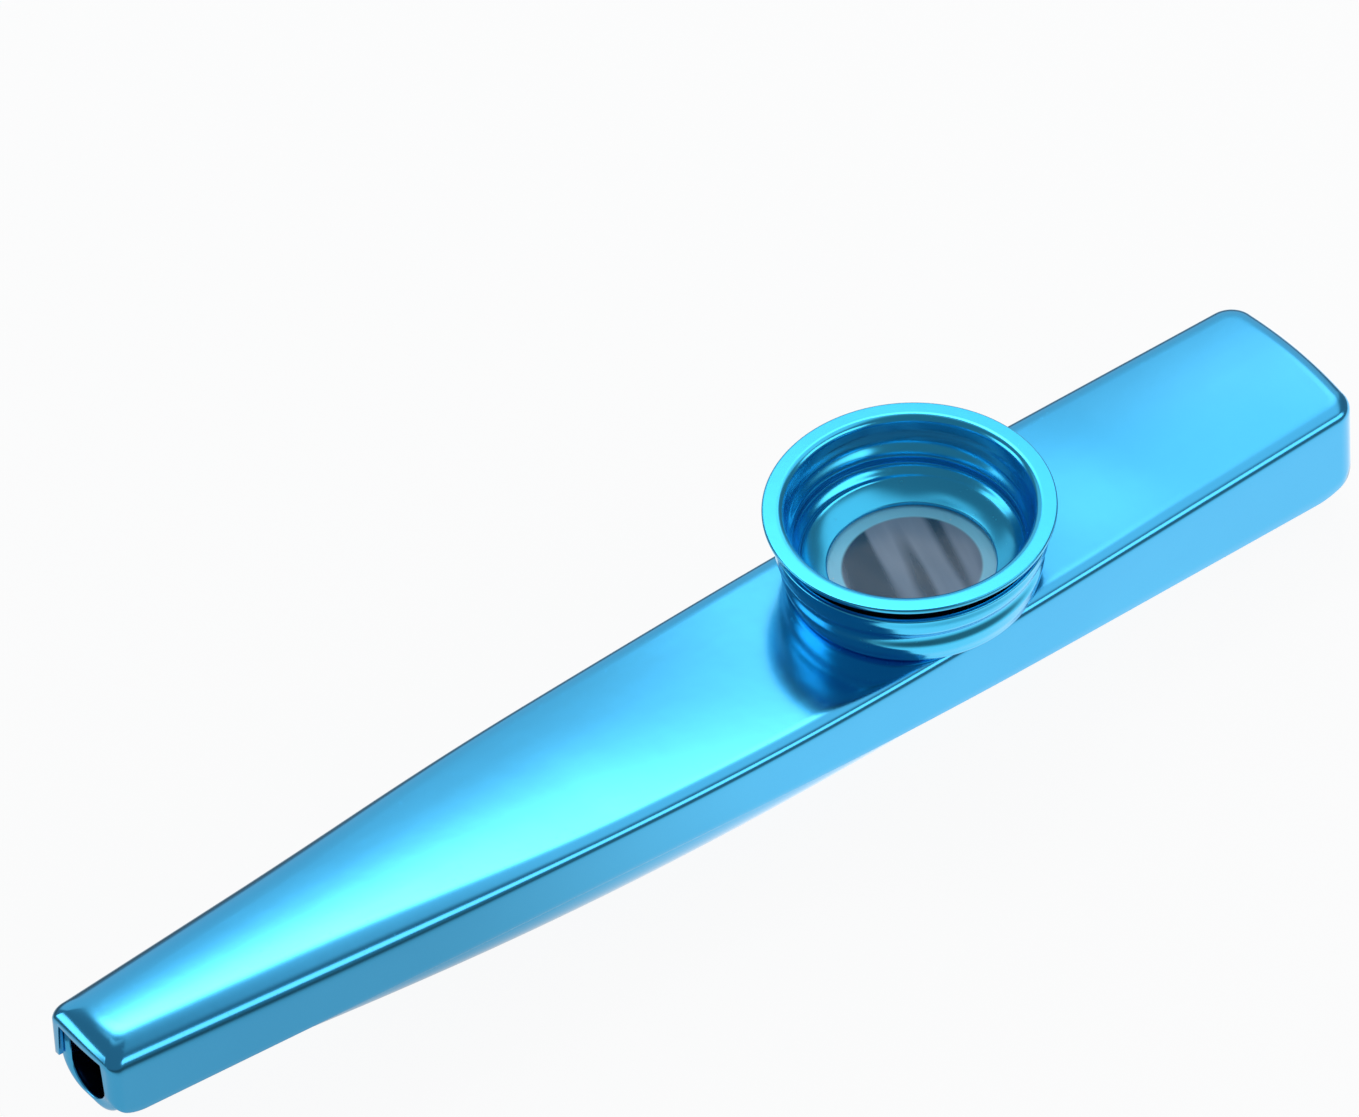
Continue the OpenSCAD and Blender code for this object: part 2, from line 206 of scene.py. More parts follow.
@dataclass(frozen=True)
class BodyLines:
    """Plan and side lines of the body; d is the distance from the exit end."""

    length: float = 120.5
    exit_w: float = 8.4
    mouth_w: float = 15.8
    shoulder_w: float = 19.1
    shoulder_at: float = 60.0
    shoulder_blend: float = 29.0
    body_h: float = 10.6
    exit_rise: float = 2.35
    rise_turn_at: float = 55.5
    rise_blend: float = 12.0
    keel_rise: float = 5.4
    keel_turn_at: float = 44.5
    keel_blend: float = 22.0
    exit_keel_w: float = 1.6
    mouth_keel_w: float = 6.0
    exit_skirt_h: float = 6.55
    mouth_skirt_h: float = 8.75
    skirt_turn_at: float = 46.8
    skirt_blend: float = 10.0
    exit_foot: tuple[float, float] = (3.0, 2.2)
    mouth_foot: tuple[float, float] = (5.0, 4.0)
    sheet: float = 0.45
    exit_edge_r: float = 1.9
    mouth_edge_r: float = 1.05
    edge_change: tuple[float, float] = (18.5, 48.5)
    turret_at: float = 81.1
    exit_crown: float = 0.3
    mouth_crown: float = 0.22
    exit_crown_grows: tuple[float, float] = (10.0, 34.0)
    mouth_crown_grows: tuple[float, float] = (10.0, 22.0)
    slope_step: float = 0.01

    @property
    def exit_taper(self) -> float:
        """Slope of each side from the exit end to the shoulder."""
        return (self.shoulder_w - self.exit_w) / 2 / self.shoulder_at

    @property
    def mouth_taper(self) -> float:
        """Slope of each side from the shoulder to the mouth end."""
        return (self.shoulder_w - self.mouth_w) / 2 / (self.length - self.shoulder_at)

    def edge(self, d: Array) -> Array:
        """Radius of the edge between the top and the skirts."""
        gain = self.mouth_edge_r - self.exit_edge_r
        return self.exit_edge_r + gain * smooth(d, *self.edge_change)

    def half_width(self, d: Array) -> Array:
        """Half of the outside width: two straight tapers joined by a parabola.

        Args:
            d: Distances from the exit end.

        Returns:
            The half width at each distance.
        """
        turn = self.exit_taper + self.mouth_taper
        line = self.exit_w / 2 + self.exit_taper * np.asarray(d, float)
        return line - bend(d, self.shoulder_at, self.shoulder_blend, turn)

    def taper(self, d: Array) -> Array:
        """Slope of the half width at d."""
        h = self.slope_step
        return (self.half_width(d + h) - self.half_width(d - h)) / (2 * h)

    def top(self, d: Array) -> Array:
        """Height of the top: level at the turret, rising to the exit end.

        Args:
            d: Distances from the exit end.

        Returns:
            The height at each distance.
        """
        slope = self.exit_rise / self.rise_turn_at
        back = -np.asarray(d, float)
        return self.body_h + bend(back, -self.rise_turn_at, self.rise_blend, slope)

    def crowned_top(self, d: Array, y: Array) -> Array:
        """Height of the top with its slight crown across, level under the turret.

        The crown is crown(d) * (1 - (y / half width)^2), and crown(d) eases
        from 0 beside the turret to its full height towards each end.

        Args:
            d: Distances from the exit end.
            y: Distances from the plane of symmetry.

        Returns:
            The height at each pair of distances.
        """
        across = 1 - np.clip(np.abs(y) / self.half_width(d), 0, 1) ** 2
        before = self.exit_crown * smooth(self.turret_at - d, *self.exit_crown_grows)
        after = self.mouth_crown * smooth(d - self.turret_at, *self.mouth_crown_grows)
        return self.top(d) + (before + after) * across

    def keel(self, d: Array) -> Array:
        """Height of the keel: level at the mouth end, rising to the exit end."""
        slope = self.keel_rise / self.keel_turn_at
        return bend(-np.asarray(d, float), -self.keel_turn_at, self.keel_blend, slope)

    def foot(self, d: Array) -> Array:
        """Height of the foot of the skirts, with an elliptical rise at each end.

        Args:
            d: Distances from the exit end.

        Returns:
            The bent line of the foot plus b * (1 - sqrt(1 - u^2)) at each
            end, where u runs from 0 to 1 over the rise's length.
        """
        level = self.body_h + self.exit_rise - self.exit_skirt_h
        fall = (level - self.body_h + self.mouth_skirt_h) / (self.length - self.skirt_turn_at)
        z = level - bend(d, self.skirt_turn_at, self.skirt_blend, fall)
        for e, (a, b) in ((d, self.exit_foot), (self.length - d, self.mouth_foot)):
            u = np.clip((a - np.asarray(e, float)) / a, 0, 1)
            z = z + b * (1 - np.sqrt(1 - u * u))
        return z


# Upper shell


@dataclass(frozen=True)
class Outline:
    """Half of a plan outline, from the middle of one end to that of the other.

    Attributes:
        x: Distance of each point from the exit end.
        y: Distance of each point from the plane of symmetry.
        nx: Outward normal along X.
        ny: Outward normal along Y.
        edge_z: Height of the free edge of the sheet.
        ix: Distance from the exit end at which the flat top begins.
        iy: Distance from the plane of symmetry at which it begins.
        drop: Depth of the rounded edge between the top and the skirt.
    """

    x: Array
    y: Array
    nx: Array
    ny: Array
    edge_z: Array
    ix: Array
    iy: Array
    drop: Array


@dataclass(frozen=True)
class ShellEnd:
    """One end of the upper shell.

    Attributes:
        face: Distance of the end's middle from the exit end.
        side: 1 at the exit end and -1 at the mouth end.
        bow: Bow of the face in plan.
        angle: Angle of the tapered side in degrees.
        centre: Centre of the corner of the plan.
        radius: Radius of that corner.
        inner: Centre of the corner of the flat top.
        inner_r: Radius of that corner.
        edge_w: Width of the rounded edge.
        leg_y: Where the turned-in skirt begins, across the end.
        lip_z: Height of the foot of the lip.
        drop: Depth of the rounded edge.
    """

    face: float
    side: int
    bow: float
    angle: float
    centre: tuple[float, float]
    radius: float
    inner: tuple[float, float]
    inner_r: float
    edge_w: float
    leg_y: float
    lip_z: float
    drop: float


@dataclass(frozen=True)
class UpperShell:
    """Pressed upper shell: crowned top, rounded edge, skirts and a lip at each end.

    Every column of the surface is one half of a cross-section. It starts on
    the top at the plane of symmetry, or at the turret's hole, runs over the
    rounded edge down the skirt, turns round the foot and comes back inside.
    """

    lines: BodyLines = field(default_factory=BodyLines)
    exit_corner_r: float = 1.1
    mouth_corner_r: float = 2.2
    flat_corner_r: float = 0.9
    edge_settle: float = 14.0
    fan_w: float = 3.0
    edge_spread: float = 1.5
    edge_power: float = 2.6
    exit_bow: float = 0.12
    mouth_bow: float = 0.3
    exit_lip_h: float = 1.4
    mouth_lip_h: float = 1.95
    lip_rim: float = 0.15
    exit_leg: float = 0.12
    mouth_leg: float = 0.4
    leg_step: float = 0.4
    hole_r: float = 6.15
    face_steps: int = 70
    corner_steps: int = 26
    top_steps: int = 14
    edge_steps: int = 17
    skirt_steps: int = 8
    leg_steps: tuple[int, int] = (14, 6)
    side_steps: tuple[int, int, int, int] = (40, 150, 70, 50)
    hole_steps: int = 72
    top_gather: float = 1.7
    rim_r: float = 0.1
    rim_cut: float = 0.3

    def end(self, mouth: bool) -> ShellEnd:
        """Works out the places and sizes of one end.

        Args:
            mouth: Whether it is the mouth end.

        Returns:
            The end.
        """
        line = self.lines
        corner_r = self.mouth_corner_r if mouth else self.exit_corner_r
        edge_r = line.mouth_edge_r if mouth else line.exit_edge_r
        bow = self.mouth_bow if mouth else self.exit_bow
        slope = line.mouth_taper if mouth else line.exit_taper
        lip = self.mouth_lip_h if mouth else self.exit_lip_h
        leg = self.mouth_leg if mouth else self.exit_leg
        face, side = (line.length, -1) if mouth else (0.0, 1)
        wide = edge_r * self.edge_spread
        inset = max(corner_r, wide + self.flat_corner_r)
        cx, ix = face + side * (bow + corner_r), face + side * (bow + inset)
        stretch = math.sqrt(1 + slope**2)
        cy = -float(line.half_width(cx)) + corner_r * stretch
        iy = -float(line.half_width(ix)) + inset * stretch
        return ShellEnd(
            face=face,
            side=side,
            bow=bow,
            angle=math.degrees(math.atan(slope)),
            centre=(cx, cy),
            radius=corner_r,
            inner=(ix, iy),
            inner_r=inset - wide,
            edge_w=wide,
            leg_y=cy + leg,
            lip_z=float(line.top(face)) - lip,
            drop=min(edge_r, lip - self.lip_rim),
        )

    def end_face(self, end: ShellEnd) -> Outline:
        """Outline across one end, from its middle to its corner.

        The face bows as y^2. Its free edge is the lip's, and drops to the
        foot of the turned-in skirt over the last stretch.

        Args:
            end: The end.

        Returns:
            The outline.
        """
        step, (drop_steps, rest_steps) = self.leg_step, self.leg_steps
        cy = end.centre[1]
        y = np.concatenate([
            np.linspace(0, end.leg_y + step, self.face_steps - drop_steps - rest_steps),
            spread(end.leg_y + step, end.leg_y, drop_steps),
            spread(end.leg_y, cy, rest_steps),
        ])
        bow = end.bow * (y / cy) ** 2
        x = end.face + end.side * bow
        lean = 2 * bow / np.where(y == 0, 1, y)
        down = smooth(-y, -end.leg_y - step, -end.leg_y)
        edge_z = end.lip_z + (self.lines.foot(x) - end.lip_z) * down
        flat = np.ones(len(y))
        return Outline(
            x, y, -end.side * flat, lean, edge_z,
            x + end.side * end.edge_w, y * end.inner[1] / cy, end.drop * flat,
        )

    def corner(
        self, end: ShellEnd, start: float, stop: float, drops: tuple[float, float]
    ) -> Outline:
        """Outline round one corner of the plan.

        Args:
            end: The end that the corner belongs to.
            start: First angle in degrees.
            stop: Last angle in degrees.
            drops: Depths of the rounded edge at both, with an eased step between.

        Returns:
            The outline, without its first and last point.
        """
        turn = np.linspace(0, 1, self.corner_steps + 1)[1:-1]
        a = np.radians(np.linspace(start, stop, self.corner_steps + 1))[1:-1]
        nx, ny = np.cos(a), np.sin(a)
        x = end.centre[0] + end.radius * nx
        return Outline(
            x, end.centre[1] + end.radius * ny, nx, ny, self.lines.foot(x),
            end.inner[0] + end.inner_r * nx, end.inner[1] + end.inner_r * ny,
            drops[0] + (drops[1] - drops[0]) * smooth(turn, 0, 1),
        )

    def side(self, exit_end: ShellEnd, mouth_end: ShellEnd) -> Outline:
        """Outline along the near side, with its stations close round the feet and the hole.

        The flat top starts one edge width inwards. Its own stations ease
        from each corner of the flat to those of the side.

        Args:
            exit_end: The exit end.
            mouth_end: The mouth end.

        Returns:
            The outline.
        """
        line = self.lines
        start, stop = exit_end.centre[0], mouth_end.centre[0]
        a, b = start + line.exit_foot[0], stop - line.mouth_foot[0]
        around = np.radians(np.linspace(0, 180, self.hole_steps + 1))
        turn = line.turret_at - self.hole_r * np.cos(around)
        steps = self.side_steps
        d = np.concatenate([
            np.linspace(start, a, steps[0]),
            spread(a, turn[0], steps[1])[:-1],
            turn,
            spread(turn[-1], b, steps[2]),
            spread(b, stop, steps[3]),
        ])
        slope = line.taper(d)
        n = np.sqrt(1 + slope**2)
        settle = self.edge_settle
        ix = d + (exit_end.inner[0] - start) * (1 - smooth(d, start, start + settle))
        ix = ix + (mouth_end.inner[0] - stop) * smooth(d, stop - settle, stop)
        wide = self.edge_spread * line.edge(ix) * np.sqrt(1 + line.taper(ix) ** 2)
        iy = wide - line.half_width(ix)
        return Outline(
            d, -line.half_width(d), -slope / n, -1 / n, line.foot(d), ix, iy, line.edge(d)
        )

    def outline(self) -> Outline:
        """Joins the near half of the plan from its parts.

        Returns:
            The outline from the middle of the exit end to that of the mouth end.
        """
        ex, mo, line = self.end(False), self.end(True), self.lines
        exit_drops = (ex.drop, float(line.edge(ex.centre[0])))
        mouth_drops = (float(line.edge(mo.centre[0])), mo.drop)
        parts = [
            self.end_face(ex),
            self.corner(ex, 180, 270 - ex.angle, exit_drops),
            self.side(ex, mo),
            self.corner(mo, 270 + mo.angle, 360, mouth_drops),
            Outline(*(np.flip(v) for v in vars(self.end_face(mo)).values())),
        ]
        return Outline(*(np.concatenate(v) for v in zip(*(vars(p).values() for p in parts))))

    def fan(self, o: Outline, end: ShellEnd) -> Array:
        """How far the lines across the flat top start inwards of one end.

        So they fan out from the end's middle and never lie on each other.

        Args:
            o: Outline of the near half.
            end: The end.

        Returns:
            The signed shift along X of each line's start.
        """
        out = np.clip(o.iy / end.inner[1], 0, 1)
        along = end.side * (o.ix - end.face) - end.edge_w
        return end.side * self.fan_w * out * (1 - smooth(along, 0, self.edge_settle))

    def section(self, o: Outline) -> Array:
        """All half cross-sections at once, as an array of columns by points by 3.

        Args:
            o: Outline of the near half.

        Returns:
            The points. The rounded edge is a superellipse of power p, whose
            angle a runs from the flat top to the skirt, or to where the edge
            reaches its depth. A point lies (sin a)^(2/p) of the way out from
            the flat, scaled to end on the outline, and 1 - (cos a)^(2/p) of
            the way down from the crowned top, scaled to end at the depth.
        """
        line, t = self.lines, self.lines.sheet
        turns = np.linspace(0, 1, self.edge_steps + 1)
        edge_r = line.edge(o.x)
        power = 2 / self.edge_power
        last = np.arccos((1 - np.clip(o.drop / edge_r, 0, 1)) ** (1 / power))

        def column(inset: float, a: float) -> Array:
            """One line of the rounded edge, all round the outline.

            Args:
                inset: Depth in the sheet, from its outer face.
                a: Share of the edge's turn, from 0 at the top to 1.

            Returns:
                The line's points.
            """
            out = (np.sin(a * last) / np.sin(last)) ** power
            x = o.ix + (o.x - o.nx * inset - o.ix) * out
            y = o.iy + (o.y - o.ny * inset - o.iy) * out
            down = (1 - np.cos(a * last) ** power) / (1 - np.cos(last) ** power)
            fall = (o.drop - inset) * down
            return np.stack([x, y, line.crowned_top(x, y) - inset - fall], 1)

        def foot(inset: float, rise: float) -> Array:
            """One line of the surface near the free edge."""
            return np.stack([o.x - o.nx * inset, o.y - o.ny * inset, o.edge_z + rise], 1)

        start = o.ix + self.fan(o, self.end(False)) + self.fan(o, self.end(True))

        def across(depth: float) -> list[Array]:
            """Lines from the plane of symmetry, or the hole, to the rounded edge.

            Args:
                depth: Depth in the sheet, from its outer face.

            Returns:
                The lines, closer together towards the rounded edge.
            """
            hole = np.sqrt(np.clip(self.hole_r**2 - (o.ix - line.turret_at) ** 2, 0, None))
            hole = np.where(hole < ZERO_MM, 0, hole)
            f = 1 - np.linspace(1, 0, self.top_steps + 1)[:, None] ** self.top_gather
            x = start + (o.ix - start) * f
            y = -hole + (o.iy + hole) * f
            return list(np.stack([x, y, line.crowned_top(x, y) - depth], -1))

        c = self.rim_r
        k = self.rim_cut * c
        bevel = [(0.0, c), (k, k), (c, 0.0), (t - c, 0.0), (t - k, k), (t, c)]
        wall = np.linspace(0, 1, self.skirt_steps + 1)[1:-1]
        rim = [foot(i, r) for i, r in bevel]
        high_out, high_in = column(0.0, turns[-1]), column(t, turns[-1])
        skirt = [high_out + (rim[0] - high_out) * w for w in wall]
        lining = [rim[-1] + (high_in - rim[-1]) * w for w in wall]
        outer = across(0.0)[:-1] + [column(0.0, a) for a in turns]
        inner = [column(t, a) for a in turns[::-1]] + across(t)[:-1][::-1]
        return np.stack(outer + skirt + rim + lining + inner, 1)

    def build(self, material: bpy.types.Material) -> bpy.types.Object:
        """Makes the shell: the near half, its mirror image and the wall of the hole.

        Args:
            material: Finish of the shell.

        Returns:
            The finished object.
        """
        made = SurfaceMesh("upper_shell_skin")
        near = self.section(self.outline())
        near[..., 0] -= self.lines.length / 2
        open_row = near[:, 0, 1] < 0
        cut = open_row[:-1] | open_row[1:]
        for side in (1, -1):
            index = made.grid(near * np.array([1, side, 1]))
            first, last = index[:, 0], index[:, -1]
            made.faces(first[:-1][cut], first[1:][cut], last[1:][cut], last[:-1][cut])
        return made.build("body", "upper_shell", "shell_metal", material)


# Lower shell


@dataclass(frozen=True)
class LowerShell:
    """Pressed lower shell: a trough with a flat keel and an end wall at each end.

    A section is a U: two upright walls, two quarter circles and the flat
    keel. The sections run along the outside, round the edge of each end wall
    to its opening, and back along the inside, as one closed loop.
    """

    lines: BodyLines = field(default_factory=BodyLines)
    nest_gap: float = 0.12
    end_gap: float = 0.05
    exit_bow: float = 0.12
    mouth_bow: float = 0.3
    exit_wall_r: float = 0.55
    mouth_wall_r: float = 1.9
    exit_rim: tuple[float, float] = (1.55, 0.66)
    mouth_rim: tuple[float, float] = (2.3, 2.3)
    curl_r: float = 0.16
    curl_cut: tuple[float, float] = (0.35, 0.08)
    keel_steps: int = 22
    wall_steps: int = 12
    flat_steps: int = 7
    stations: int = 260
    least_flat: float = 0.06

    def trough(self, d: Array, inset: Array) -> Array:
        """Sections of the trough at some distances.

        Args:
            d: Distances from the exit end.
            inset: Depth in the sheet at each, from its outer face.

        Returns:
            Each section as [d, half width, keel height, corner radius].
        """
        line = self.lines
        half = line.half_width(d) - line.sheet - self.nest_gap
        flat = (line.exit_keel_w + (line.mouth_keel_w - line.exit_keel_w) * d / line.length) / 2
        return np.stack([d, half - inset, line.keel(d) + inset, half - flat - inset], -1)

    def end_wall(
        self, at: float, inwards: int, radius: float, rim: tuple[float, float]
    ) -> Array:
        """Sections from the inside of one end wall, round its opening, to its outside.

        Args:
            at: Distance of the wall's outer face from the exit end.
            inwards: 1 at the exit end and -1 at the mouth end.
            radius: Outside radius round the wall.
            rim: Widths of the wall beside and below its opening.

        Returns:
            The sections: inner rounding, the curled edge of the opening and
            the outer rounding.
        """
        t, c = self.lines.sheet, self.curl_r

        def rounding(inset: float) -> Array:
            """Quarter circle between the end wall and the trough.

            Args:
                inset: Depth in the sheet, from its outer face.

            Returns:
                Its sections.
            """
            a = np.radians(np.linspace(0, 90, self.wall_steps + 1))
            q = radius - inset
            s = self.trough(np.full(len(a), at + inwards * radius), radius - q * np.sin(a))
            s[:, 0] = at + inwards * (radius - q * np.cos(a))
            return s

        def ring(depth: float, grow: float) -> Array:
            """Section of the opening, a trough section inside its rim.

            Args:
                depth: Depth in the wall.
                grow: How much wider the opening is there.

            Returns:
                The section, as an array of one row.
            """
            s = self.trough(np.array(at), np.array(0.0))
            half = s[1] - rim[0] + grow
            r = min(half - self.least_flat, s[3] - rim[1] / 2 + grow)
            return np.array([[at + inwards * depth, half, s[2] + rim[1] - grow, r]])

        k, m = (share * c for share in self.curl_cut)
        curl = [(t, k), (t - k, m), (t - c, 0.0), (c, 0.0), (k, m), (0.0, k)]
        rings = [ring(depth, grow) for depth, grow in curl]
        return np.concatenate([rounding(t)[::-1], *rings, rounding(0.0)])

    def loop(self) -> Array:
        """Puts all sections in order.

        Returns:
            The exit wall, the outside, the mouth wall and the inside.
        """
        line = self.lines
        exit_at = self.exit_bow + line.sheet + self.end_gap
        mouth_at = line.length - self.mouth_bow - line.sheet - self.end_gap
        start, stop = exit_at + self.exit_wall_r, mouth_at - self.mouth_wall_r
        d = np.linspace(start, stop, self.stations)[1:-1]
        outer = self.trough(d, np.zeros(len(d)))
        inner = self.trough(d, np.full(len(d), line.sheet))
        exit_wall = self.end_wall(exit_at, 1, self.exit_wall_r, self.exit_rim)
        mouth_wall = self.end_wall(mouth_at, -1, self.mouth_wall_r, self.mouth_rim)
        return np.concatenate([exit_wall, outer, mouth_wall[::-1], inner[::-1]])

    def build(self, material: bpy.types.Material) -> bpy.types.Object:
        """Makes the trough and closes its two top edges.

        A top edge is closed by quads between each outer section and the
        inner section that lies as far from the middle of the rim.

        Args:
            material: Finish of the shell.

        Returns:
            The finished object.
        """
        s = self.loop()
        x, half, keel, r = s.T
        a = np.radians(np.linspace(180, 270, self.keel_steps + 1))[None, :]
        y = (-half + r)[:, None] + r[:, None] * np.cos(a)
        z = (keel + r)[:, None] + r[:, None] * np.sin(a)
        top_z = self.lines.top(x) - self.lines.edge(x)
        y = np.hstack([-half[:, None], y])
        z = np.hstack([top_z[:, None], z])
        flat_y = np.linspace(y[:, -1], -y[:, -1], self.flat_steps + 1)[1:-1].T
        y = np.hstack([y, flat_y, -y[:, ::-1]])
        z = np.hstack([z, np.repeat(z[:, -1:], self.flat_steps - 1, 1), z[:, ::-1]])
        along = np.broadcast_to((x - self.lines.length / 2)[:, None], y.shape)
        points = np.stack([along, y, z], -1)
        made = SurfaceMesh("lower_shell_skin")
        index = made.grid(points, wrap_rows=True)
        # The outer half begins in the middle of the exit wall's curled rim.
        start = self.wall_steps + 4
        outside = np.arange(start, start + len(x) // 2)
        inside = (2 * start - 1 - outside) % len(x)
        for edge in (index[:, 0], index[:, -1]):
            out, back = edge[outside], edge[inside]
            made.faces(out[:-1], out[1:], back[1:], back[:-1])
        return made.build("body", "lower_shell", "shell_metal", material)


# Turned pieces of the turret


@dataclass(frozen=True)
class RolledThread:
    """Ridge rolled into a sheet wall along a helix: its crest rises by pitch per turn."""

    pitch: float = 2.2
    start_z: float = 1.62
    first_turn: float = -0.12
    last_turn: float = 1.5
    fade: float = 0.14
    depth: float = 0.34
    swell: float = 0.1
    turns: tuple[int, int] = (-1, 4)

    def displacement(self, angle: Array, z: Array) -> Array:
        """Radial shift of the wall: a swell less a cosine ridge round each crest.

        Args:
            angle: Angle round the axis in radians.
            z: Height above the turret's seat.

        Returns:
            swell - depth * sum over turns k of fade(k + angle / 2 pi)
            * cos^2(pi (z - crest) / pitch), for z within half a pitch of it.
        """
        turn = np.mod(angle, 2 * np.pi) / (2 * np.pi)
        ridge = np.zeros(np.broadcast(angle, z).shape)
        for k in range(*self.turns):
            t = k + turn
            fade = smooth(t, self.first_turn, self.first_turn + self.fade)
            fade = fade * (1 - smooth(t, self.last_turn - self.fade, self.last_turn))
            off = (z - self.start_z - self.pitch * t) / self.pitch
            ridge = ridge + fade * np.where(np.abs(off) < 0.5, np.cos(np.pi * off) ** 2, 0)
        return self.swell - self.depth * ridge


@dataclass(frozen=True)
class TurnedSheet:
    """A sheet turned round the turret's axis, with a rolled thread in its wall."""

    name: str
    node: str
    body: str
    centre_line: Array
    sheet: float
    thread: RolledThread
    thread_z: tuple[float, float, float, float]
    wall_from_r: float
    seat: tuple[float, float]
    segments: int = 256
    rounding: float = 0.12
    step: float = 0.085
    end_steps: int = 4
    end_trim: int = 2
    wall_blend: float = 0.5

    def profile(self) -> Array:
        """Offsets the sheet's centre line to both sides and rounds its ends.

        Returns:
            The closed outline, as radius and height.
        """
        p = resample(self.centre_line, self.step)
        d = np.gradient(p, axis=0)
        d /= np.hypot(*d.T)[:, None]
        n = np.stack([-d[:, 1], d[:, 0]], 1)
        t, c = self.sheet / 2, self.rounding
        ends = []
        for at, along, normal in ((p[-1], d[-1], n[-1]), (p[0], -d[0], -n[0])):
            a = np.radians(np.linspace(90, 0, self.end_steps + 1))[:, None]
            out, back = c * np.sin(a) * normal, c * (np.cos(a) - 1) * along
            first = (t - c) * normal + out + back
            second = (c - t) * normal - out[::-1] + back[::-1]
            ends.append(at + np.concatenate([first, second]))
        left, right = p + n * t, p - n * t
        middle = slice(self.end_trim, -self.end_trim)
        return np.concatenate([left[middle], ends[0], right[::-1][middle], ends[1]])

    def build(self, material: bpy.types.Material) -> bpy.types.Object:
        """Turns the profile round the axis and presses the thread into the wall.

        Args:
            material: Finish of the sheet.

        Returns:
            The finished object.
        """
        r, z = self.profile().T
        angle = np.linspace(0, 2 * np.pi, self.segments, endpoint=False)[:, None]
        low, low_full, high_full, high = self.thread_z
        mask = smooth(z, low, low_full) * (1 - smooth(z, high_full, high))
        mask = mask * smooth(r, self.wall_from_r, self.wall_from_r + self.wall_blend)
        radius = r[None, :] + mask[None, :] * self.thread.displacement(angle, z[None, :])
        x = self.seat[0] + radius * np.cos(angle)
        y = radius * np.sin(angle)
        height = np.broadcast_to(self.seat[1] + z, x.shape)
        made = SurfaceMesh(self.name)
        made.grid(np.stack([x, y, height], -1), wrap_rows=True, wrap_columns=True)
        return made.build(self.body, self.node, "turret_metal", material)


